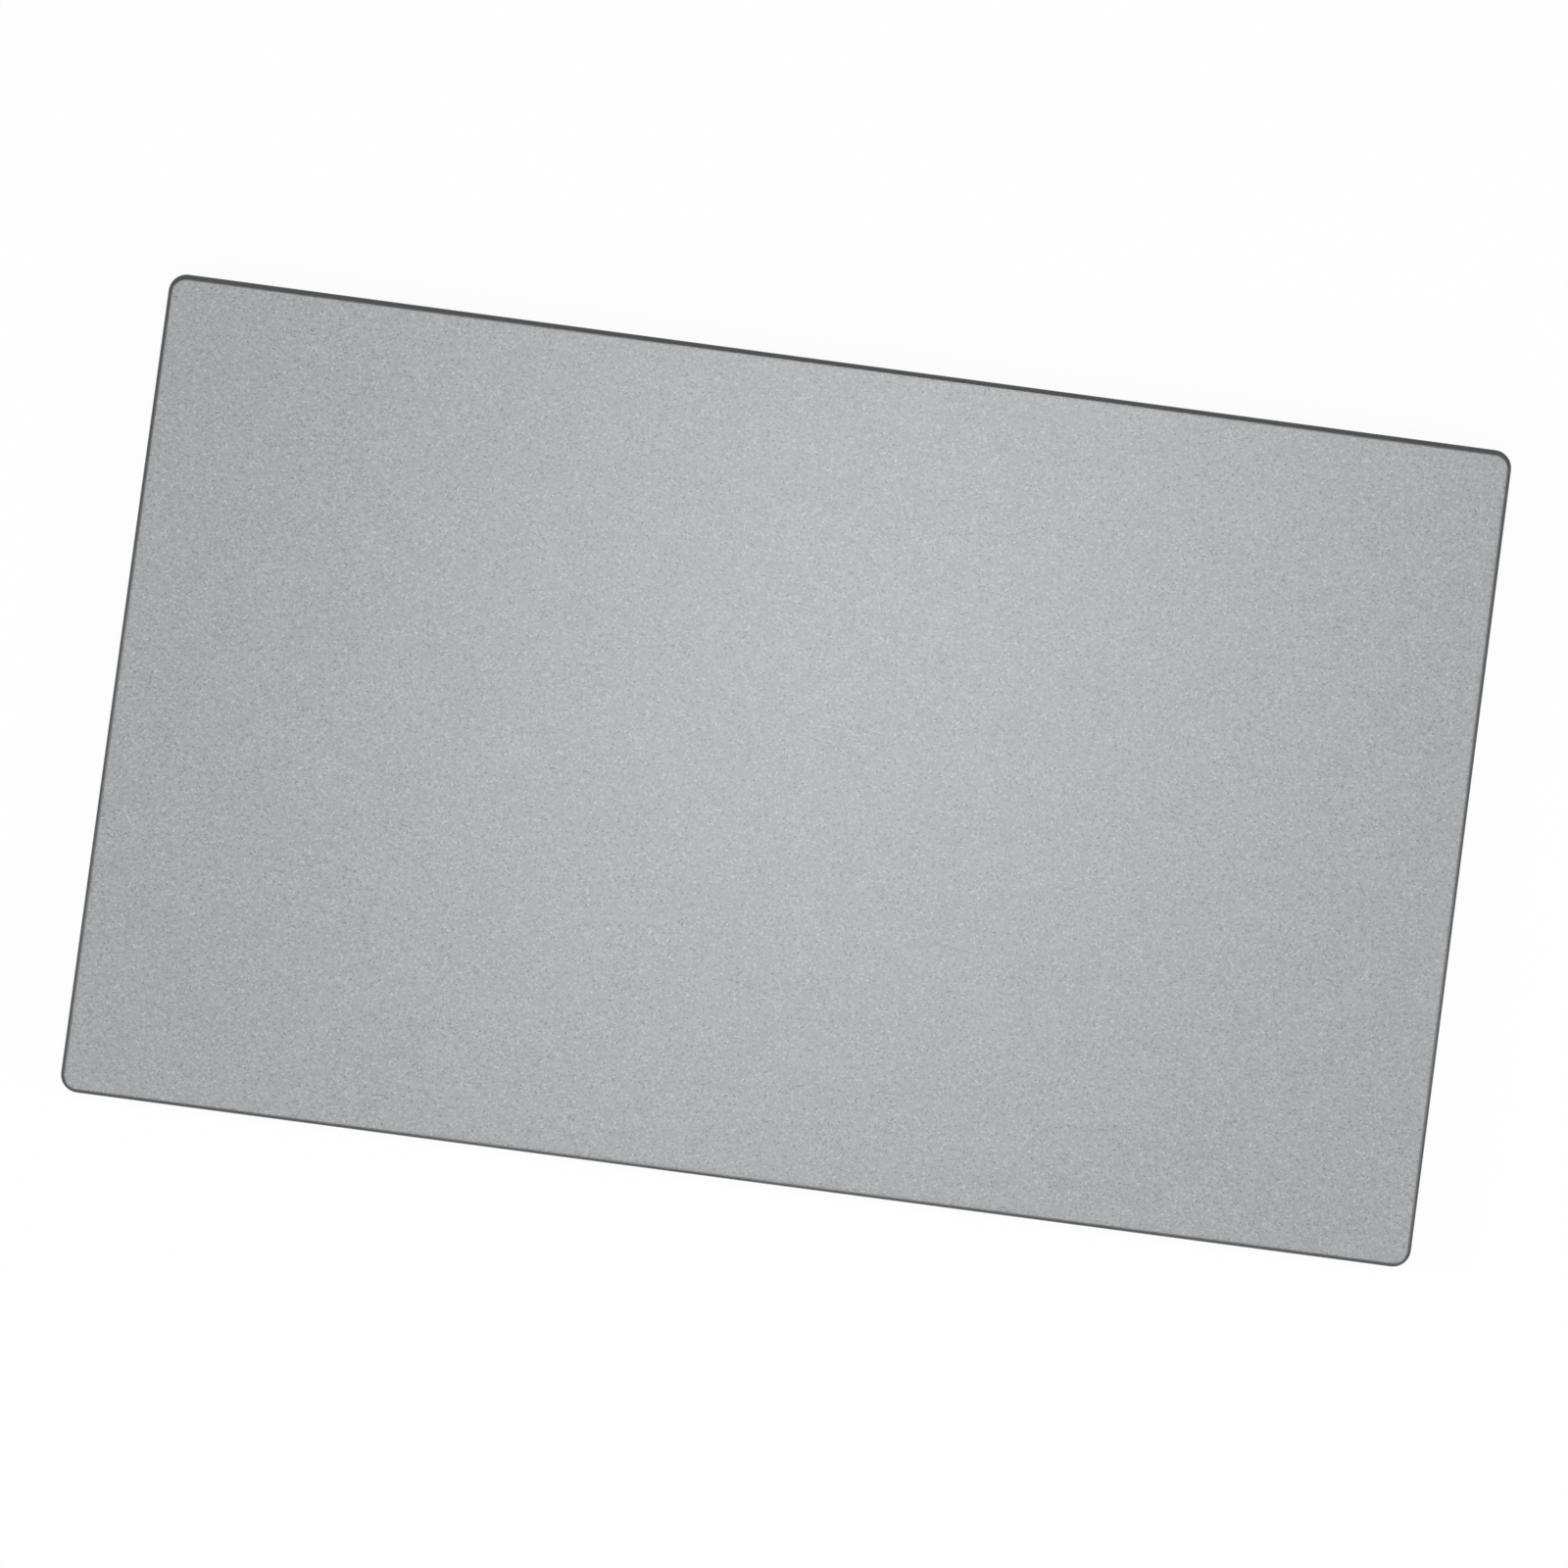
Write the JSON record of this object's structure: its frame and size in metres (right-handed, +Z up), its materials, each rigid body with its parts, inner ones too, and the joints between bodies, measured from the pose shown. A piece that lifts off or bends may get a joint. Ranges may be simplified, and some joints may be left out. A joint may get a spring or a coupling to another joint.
{
  "type": "trackpad",
  "caption": "Flat grey glass trackpad module with rounded corners: the pad rides on leaf springs over mounting rails, with a haptic motor and a ribbon socket underneath.",
  "frame": {"origin": "middle of the pad, in the plane of the mounting posts' seats", "axes": "+X along the long side to the user's right, +Y away from the user, +Z up out of the glass"},
  "size_m": [0.134, 0.0814, 0.0052],
  "materials": {
    "touch_glass": "matte",
    "bonding_film": "satin",
    "board_laminate": "satin",
    "rail_steel": "satin",
    "post_steel": "satin",
    "spring_steel": "satin",
    "screw_steel": "satin",
    "gauge_film": "gloss",
    "silicone": "matte",
    "boss_brass": "satin",
    "chip_mould": "matte",
    "crystal_metal": "satin",
    "capacitor_ceramic": "satin",
    "resistor_ceramic": "satin",
    "socket_plastic": "matte",
    "contact_gold": "polished",
    "anchor_tin": "satin",
    "latch_plastic": "matte",
    "motor_foam": "matte",
    "motor_steel": "satin",
    "coil_copper": "gloss",
    "weight_metal": "satin",
    "magnet_nickel": "polished"
  },
  "bodies": {
    "mount": {"left_rail": "rail_steel", "right_rail": "rail_steel", "mount_posts": "post_steel", "front_left_spring": "spring_steel", "front_right_spring": "spring_steel", "rear_left_spring": "spring_steel", "rear_right_spring": "spring_steel", "spring_screws": "screw_steel", "front_left_gauge": "gauge_film", "front_right_gauge": "gauge_film", "rear_left_gauge": "gauge_film", "rear_right_gauge": "gauge_film", "front_left_bumper": "silicone", "front_right_bumper": "silicone", "rear_left_bumper": "silicone", "rear_right_bumper": "silicone"},
    "pad": {"glass_plate": "touch_glass", "bonding_sheet": "bonding_film", "sensor_board": "board_laminate", "pad_bosses": "boss_brass", "boss_screws": "screw_steel", "touch_controller": "chip_mould", "system_controller": "chip_mould", "motor_driver": "chip_mould", "gauge_converter": "chip_mould", "memory_chip": "chip_mould", "clock_crystal": "crystal_metal", "board_capacitors": "capacitor_ceramic", "board_resistors": "resistor_ceramic", "socket_housing": "socket_plastic", "socket_contacts": "contact_gold", "socket_anchors": "anchor_tin", "motor_pad": "motor_foam", "motor_nuts": "boss_brass", "motor_plate": "motor_steel", "motor_can": "motor_steel", "motor_screws": "screw_steel", "motor_coil": "coil_copper", "motor_flex": "gauge_film", "left_mass_spring": "spring_steel", "right_mass_spring": "spring_steel"},
    "weight": {"motor_weight": "weight_metal", "weight_magnets": "magnet_nickel", "magnet_yoke": "motor_steel"},
    "latch": {"socket_latch": "latch_plastic"}
  },
  "joints": [
    {"name": "pad_press", "type": "slide", "parent": "mount", "child": "pad", "axis": [0, 0, -1], "range_m": [0, 0.00025], "stiffness_N_per_m": 18000, "springref_m": -0.00005, "deforming": ["front_left_spring", "front_right_spring", "rear_left_spring", "rear_right_spring", "front_left_gauge", "front_right_gauge", "rear_left_gauge", "rear_right_gauge"]},
    {"name": "weight_shake", "type": "slide", "parent": "pad", "child": "weight", "axis": [1, 0, 0], "range_m": [-0.0004, 0.0004], "stiffness_N_per_m": 2500, "deforming": ["left_mass_spring", "right_mass_spring"]},
    {"name": "latch_flip", "type": "hinge", "parent": "pad", "child": "latch", "pos_m": [0, 0.03453, 0.00246], "axis": [1, 0, 0], "range_deg": [0, 90]}
  ]
}
